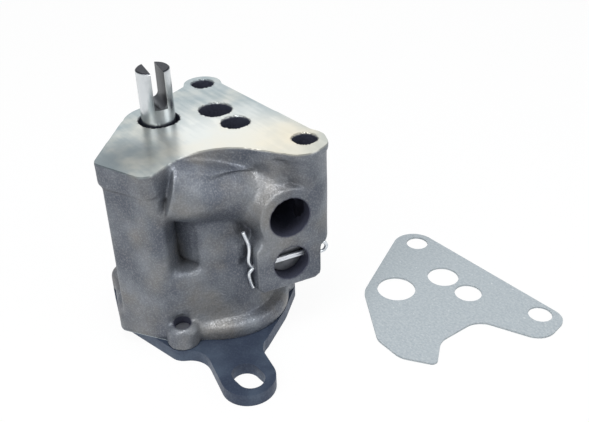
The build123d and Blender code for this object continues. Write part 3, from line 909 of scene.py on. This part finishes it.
        now, start = places.copy(), places.copy()
        share = self.fill_rate * hold * (1.0 - self.spared * ramp(places[:, 2], *self.lip_low))
        share *= 1.0 - self.spared * self.beside_lobe(places)
        deep = np.zeros(len(places))
        for middle, reach in self.deep_fills:
            off = np.linalg.norm(places - np.array(middle), axis=1)
            deep = np.maximum(deep, self.fill_rate * hold * (1.0 - ramp(off, 0.5 * reach, reach)))
        for turn in range(self.deep_rounds):
            if turn % self.normals_every == 0:
                normals = vertex_normals(now, faces)
            add = np.einsum("ij,ij->i", pull(now), normals)
            rate = np.maximum(share, deep) if turn < self.fill_rounds else deep
            now += (np.maximum(add, 0.0) * rate)[:, None] * normals
        filled = np.linalg.norm(now - start, axis=1)
        before = now.copy()
        for _ in range(self.soften_rounds):
            now += pull(now) * (self.soften_rate * hold)[:, None]
        worn = -np.einsum("ij,ij->i", now - before, normals)
        flat = (1.0 - hold) * (places[:, 2] > -self.keep)
        for _ in range(self.settle_rounds):
            now[:, :2] += (pull(now) * (self.soften_rate * flat)[:, None])[:, :2]
        return now, filled, worn

    def bellied(self, places: Array, faces: Array, hold: Array) -> Array:
        """Swells the inlet passage below the flange's waist and draws it in just under the flange.

        The wall moves along its level normal by belly * g(z, belly_z) - undercut * g(z, undercut_z), with g a
        bell curve, between the passage's two ends.
        """
        start, end = (np.array(point)[:2] for point in self.duct)
        run = end - start
        length = np.linalg.norm(run)
        share = (places[:, :2] - start) @ run / length**2
        beside = (places[:, :2] - start) @ np.array([run[1], -run[0]]) / length
        level = vertex_normals(places, faces)
        level[:, 2] = 0.0
        z = places[:, 2]
        swell = self.belly * np.exp(-(((z - self.belly_z) / self.belly_h) ** 2))
        swell -= self.undercut * np.exp(-(((z - self.undercut_z) / self.undercut_h) ** 2))
        near, far = self.duct_wall
        mask = within(share, self.duct_starts, self.duct_ends) * (beside > near) * (beside < far)
        mask *= hold * ramp(-z, *self.under_flange)
        return places + (swell * mask)[:, None] * level

    def round_lobe(self, places: Array) -> tuple[Array, Array]:
        """How far places lie across from the bores, and out from the inlet bore's axis."""
        across = places @ BOSS.across - BOSS.side
        return across, np.hypot(across, places[:, 2] - BOSS.inlet_z)

    def beside_lobe(self, places: Array) -> Array:
        """Mask of the hollow round the lobe's free side, from 0 to 1."""
        across, out = self.round_lobe(places)
        mask = within(out, self.lobe_inside, self.lobe_outside) * (1.0 - ramp(across, *self.lobe_free))
        return mask * ramp(places[:, 2], *self.lobe_low)

    def set_back(self, places: Array, faces: Array, hold: Array) -> Array:
        """Draws the passage back beside the boss, so that the boss's round lobe stands out from it."""
        across, out = self.round_lobe(places)
        depth = BOSS.face - places @ BOSS.normal
        mask = within(across, self.moat_starts, self.moat_ends) * ramp(out, *self.moat_inside)
        mask *= within(places[:, 2], self.lobe_low, self.moat_top)
        facing = ramp(vertex_normals(places, faces) @ BOSS.normal, 0.0, 0.3)
        mask *= (1.0 - ramp(depth, *self.moat_back)) * hold * facing
        return places - (self.moat * mask)[:, None] * BOSS.normal

    def padded(self, places: Array, hold: Array) -> Array:
        """Brings the recessed wall forward into its low curved pad.

        The pad is part of a cylinder about the idler shaft, r = core + rise * (ramps in angle and height).
        """
        core = self.pad_r - self.pad_rise
        flat = places[:, :2] - np.array(self.idler)
        reach = np.linalg.norm(flat, axis=1)
        angle = np.degrees(np.arctan2(flat[:, 1], flat[:, 0]))
        share = within(angle, *self.pad_span_deg) * within(places[:, 2], *self.pad_heights)
        share *= hold * (reach > core - 1.0)
        wanted = core + (self.pad_r - core) * share
        grown = np.where(share > 0.01, np.maximum(wanted, reach), reach)
        now = places.copy()
        now[:, :2] = np.array(self.idler) + flat * (grown / np.maximum(reach, 0.1))[:, None]
        return now

    def snapped(self, places: Array) -> Array:
        """Sets vertices near a machined face or bore exactly on it."""
        now = places.copy()
        for level in (0.0, -self.height):
            now[np.abs(now[:, 2] - level) < self.face_snap, 2] = level
        for bore in self.bores():
            now = bore.snapped(now, self.bore_snap, self.bore_over)
        now[:, 2] = np.minimum(np.maximum(now[:, 2], -self.height), 0.0)
        return now

    def build(self, frame: dict, iron: Material) -> None:
        """Builds the body and sets it in the place of the frame's own."""
        places, faces = self.remeshed(frame["nodes"]["pump_body"])
        below = -places[:, 2]
        bore_gap = np.min([bore.distance(places) for bore in self.bores()], axis=0)
        gap = np.minimum(bore_gap, np.minimum(below, places[:, 2] + self.height))
        hold = ramp(gap, self.keep, self.keep + self.fade)
        worked = 1.0 - ramp(below, self.worked_from, self.keep)
        bored = (1.0 - ramp(bore_gap, self.worked_from, self.keep)) * ramp(below, *self.bored_below)
        shaped = self.bellied(self.padded(places, hold), faces, hold)
        shaped = self.set_back(shaped, faces, hold)
        now, filled, worn = self.softened(shaped, faces, hold)
        normals = vertex_normals(now, faces)
        x, y, z = now.T
        sway = np.sin(x * 0.31 + 1.3) * np.sin(y * 0.27 + 0.4) * np.sin(z * 0.23)
        now += (sway * self.waviness * hold)[:, None] * normals
        now = self.snapped(now)
        x, y, z = now.T
        # a painted shadow line under the flange's lip, on the nose's front
        lip_shadow = np.exp(-(((z - self.lip_shadow_z) / self.lip_shadow_h) ** 2)) * ramp(-y, *self.lip_shadow_front)
        lip_shadow *= 1.0 - ramp(x, *self.lip_shadow_right)
        piece = new_piece("cast_body", now, faces)
        paint(piece, "machined", worked)
        paint(piece, "bored", bored)
        # painted shade in the filled hollows and under the lip
        paint(piece, "hollow_and_lip_shade", np.maximum(ramp(filled, *self.filled_mm), lip_shadow * hold))
        # edge: edges worn back, lightened in the material partly as a painted highlight
        paint(piece, "edge", ramp(worn, *self.worn_mm))
        piece.data.set_sharp_from_angle(angle=math.radians(self.sharp_deg))
        dress(piece, iron)
        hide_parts("pump_body")
        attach(piece, "housing")
        LOG.info("cast body: %d vertices", len(now))


# ---- the other pieces ----


@dataclass
class ValveSpring:
    """The relief valve's spring: a coil with its last turns closed."""

    near: float = 6.7
    far: float = 23.0
    mean_r: float = 3.9
    wire_r: float = 0.7
    turns: float = 7.5
    closed: float = 1.0
    lift: float = 5.0
    end_rise: float = 0.1
    steps: int = 200
    sides: int = 10

    def route(self) -> Array:
        """The wire's middle line, from the retainer to the plunger."""
        turn = np.linspace(0.0, self.turns, self.steps)
        knees = [0.0, self.closed, self.turns - self.closed, self.turns]
        rise = np.interp(turn, knees, [0.0, self.end_rise, 1.0 - self.end_rise, 1.0])
        depth = self.near + self.wire_r + rise * (self.far - self.near - 2 * self.wire_r)
        spoke = BOSS.spoke(2 * math.pi * turn[:, None])
        return BOSS.at(0.0, 0.0, BOSS.relief_z) - BOSS.normal * depth[:, None] + self.mean_r * spoke

    def build(self, wire: Material) -> None:
        """Builds the spring."""
        places, faces = tube(self.route(), self.wire_r, self.sides, BOSS.normal)
        piece = new_piece("valve_spring", places, faces)
        dress(piece, wire)
        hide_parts("relief_spring")
        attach(piece, "housing")
        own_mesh(piece)


@dataclass
class SplitPin:
    """The cotter pin: one half-round wire, looped into an eye, its two legs bent apart and beaten wavy."""

    radius: float = 0.72
    sides: int = 12
    rounds: int = 3
    eye_at: float = 14.7
    eye_r: float = 2.1
    eye_steps: int = 13
    eye_open_deg: float = 150.0
    upper: tuple[Flat, ...] = (
        *((-16.9, 16.4), (-16.0, 13.6), (-14.9, 10.0)),
        *((-14.9, 7.0), (-15.6, 3.6), (-15.0, 1.2)),
    )
    through: tuple[Flat, ...] = ((-13.7, 0.42), (0.0, 0.5), (9.0, 0.5), (11.6, 0.6))
    lower: tuple[Flat, ...] = ((-15.0, -1.4), (-15.8, -2.8), (-15.2, -6.0), (-14.4, -9.2))

    def route(self) -> Array:
        """The wire's middle line: up leg, through the hole, round the eye and back to the lower leg."""
        angle = np.radians(np.linspace(self.eye_open_deg, -self.eye_open_deg, self.eye_steps))
        loop = [(self.eye_at + self.eye_r * math.cos(a), self.eye_r * math.sin(a)) for a in angle]
        back = [(t, -z) for t, z in reversed(self.through)]
        flat = [*self.upper, *self.through, *loop, *back, *self.lower]
        points = [tuple(BOSS.at(BOSS.pin_depth, t, BOSS.relief_z + z)) for t, z in flat]
        return rounded_path(points, self.rounds)

    def build(self, wire: Material) -> None:
        """Builds the pin."""
        places, faces = tube(self.route(), self.radius, self.sides, BOSS.normal)
        piece = new_piece("split_pin", places, faces)
        dress(piece, wire)
        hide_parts("cotter_pin")
        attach(piece, "housing")
        LOG.info("split pin: %d vertices", len(places))


@dataclass(frozen=True)
class Studio:
    """White floor, soft lamps and the camera."""

    camera_at: Point = (249.64, -128.68, 129.05)
    focal_px: float = 803.64
    pitch_deg: float = 31.857
    roll_deg: float = -1.815
    heading: Flat = (-0.79301, 0.60921)
    sensor_mm: float = 36.0
    width_px: float = 589.0
    floor_half: float = 6000.0
    floor_glow: float = 0.94
    world_light: float = 0.50

    def floor(self, height: float) -> None:
        """A large white floor under the pump, at a height in metres, that keeps a faint shadow."""
        corners = np.array([[-1, -1, 0], [1, -1, 0], [1, 1, 0], [-1, 1, 0]]) * self.floor_half
        corners[:, 2] = height / MM
        plane = new_piece("floor", corners, np.array([[0, 1, 2, 3]]), False)
        material, s, shader = started("floor_white")
        s.surface(shader, Base_Color=(0.80, 0.80, 0.80, 1), Roughness=1.0)
        paths = s.node("ShaderNodeLightPath")
        glow = s.node("ShaderNodeEmission")
        seen = s.maths("ADD", paths.outputs["Is Camera Ray"], paths.outputs["Is Glossy Ray"], True)
        mix = s.node("ShaderNodeMixShader")
        s.link(s.times(seen, self.floor_glow), mix.inputs[0])
        s.link(shader.outputs[0], mix.inputs[1])
        s.link(glow.outputs[0], mix.inputs[2])
        s.link(mix.outputs[0], material.node_tree.nodes["Material Output"].inputs["Surface"])
        dress(plane, material)
        plane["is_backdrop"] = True

    def world(self) -> None:
        """An even pale world, seen as white."""
        world = bpy.data.worlds.new("studio")
        world.use_nodes = True
        bpy.context.scene.world = world
        s = Shader(world.node_tree)
        base = world.node_tree.nodes["Background"]
        base.inputs["Color"].default_value = (0.93, 0.96, 1.0, 1)
        paths = s.node("ShaderNodeLightPath")
        seen = s.maths("MAXIMUM", paths.outputs["Is Camera Ray"], paths.outputs["Is Transmission Ray"])
        s.link(s.between(seen, self.world_light, 1.0), base.inputs["Strength"])

    def lamp(self, name: str, at: Point, size: float, power: float, aim: Point = (15.0, 5.0, -30.0)) -> None:
        """A square soft lamp, with its place, side and the point it faces in millimetres, and its watts."""
        light = bpy.data.lights.new(name, "AREA")
        light.size = size * MM
        light.energy = power
        lamp = bpy.data.objects.new(name, light)
        lamp.location = [v * MM for v in at]
        toward = Vector(aim) - Vector(at)
        lamp.rotation_euler = toward.to_track_quat("-Z", "Y").to_euler()
        bpy.context.scene.collection.objects.link(lamp)

    def lamps(self) -> None:
        """A broad lamp behind, which the machined face mirrors, a key, one overhead and a fill."""
        self.lamp("back_soft", (-420.0, 330.0, 300.0), 420.0, 0.6, (15.0, 5.0, 0.0))
        self.lamp("key_left", (120.0, -480.0, 420.0), 300.0, 1.4)
        self.lamp("overhead", (90.0, -60.0, 430.0), 200.0, 1.5)
        self.lamp("fill_right", (420.0, 300.0, 260.0), 360.0, 0.8)

    def camera(self) -> None:
        """The camera, from its place, heading, pitch and roll."""
        pitch = math.radians(self.pitch_deg)
        forward = np.array([*self.heading, 0.0]) * math.cos(pitch)
        forward[2] = -math.sin(pitch)
        forward /= np.linalg.norm(forward)
        right = np.cross(forward, UP)
        right /= np.linalg.norm(right)
        up = np.cross(right, forward)
        a = math.radians(self.roll_deg)
        turned = math.cos(a) * right + math.sin(a) * up
        risen = -math.sin(a) * right + math.cos(a) * up
        data = bpy.data.cameras.new("camera")
        data.sensor_width = self.sensor_mm
        data.lens = self.sensor_mm * self.focal_px / self.width_px
        camera = bpy.data.objects.new("camera", data)
        axes = np.eye(4)
        axes[:3] = np.stack([turned, risen, -forward, np.array(self.camera_at) * MM], axis=1)
        camera.matrix_world = Matrix(axes.tolist())
        bpy.context.scene.collection.objects.link(camera)
        bpy.context.scene.camera = camera

    def build(self, floor_height: float) -> None:
        """Sets up everything round the pump."""
        self.floor(floor_height)
        self.world()
        self.lamps()
        self.camera()
        bpy.context.scene.view_settings.view_transform = "Standard"


@dataclass
class OilPump:
    """The whole pump, dressed on the CAD frame."""

    frame: dict
    effects: Effects = field(default_factory=Effects)

    def dress_nodes(self) -> None:
        """Gives every CAD node that stays its finish."""
        steel = GroundSteel().make(self.effects)
        loose = (Metal.ZINC, Metal.SPRING)
        plain = {kind: plain_metal(kind, self.effects) for kind in Metal if kind not in loose}
        paper = GasketPaper().make(self.effects)
        looks = {
            "bottom_cover": BluedPlate().make(self.effects),
            "cover_seal": paper,
            "mounting_gasket": paper,
            "drive_shaft": steel,
            "idler_shaft": steel,
            "drive_gear": plain[Metal.SINTERED],
            "idler_gear": plain[Metal.SINTERED],
            "upper_bushing": plain[Metal.BRONZE],
            "lower_bushing": plain[Metal.BRONZE],
            "relief_plunger": plain[Metal.SINTERED],
            "spring_retainer": plain[Metal.CUP],
        }
        for name, node in self.frame["nodes"].items():
            look = plain[Metal.SCREW] if name.startswith("cover_screw") else looks.get(name)
            if look is not None:
                dress(node, look)
                LOG.info("dressed %s", name)

    def build(self) -> None:
        """Builds the new pieces and dresses the rest."""
        CastBody().build(self.frame, CastIron().make(self.effects))
        SplitPin().build(plain_metal(Metal.ZINC, self.effects))
        ValveSpring().build(plain_metal(Metal.SPRING, self.effects))
        self.dress_nodes()


def main() -> None:
    logging.basicConfig(level=logging.INFO, format="%(message)s")
    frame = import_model()
    cad_box = [list(corner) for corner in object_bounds()]
    OilPump(frame).build()
    Studio().build(cad_box[0][2])


if __name__ == "__main__":
    main()
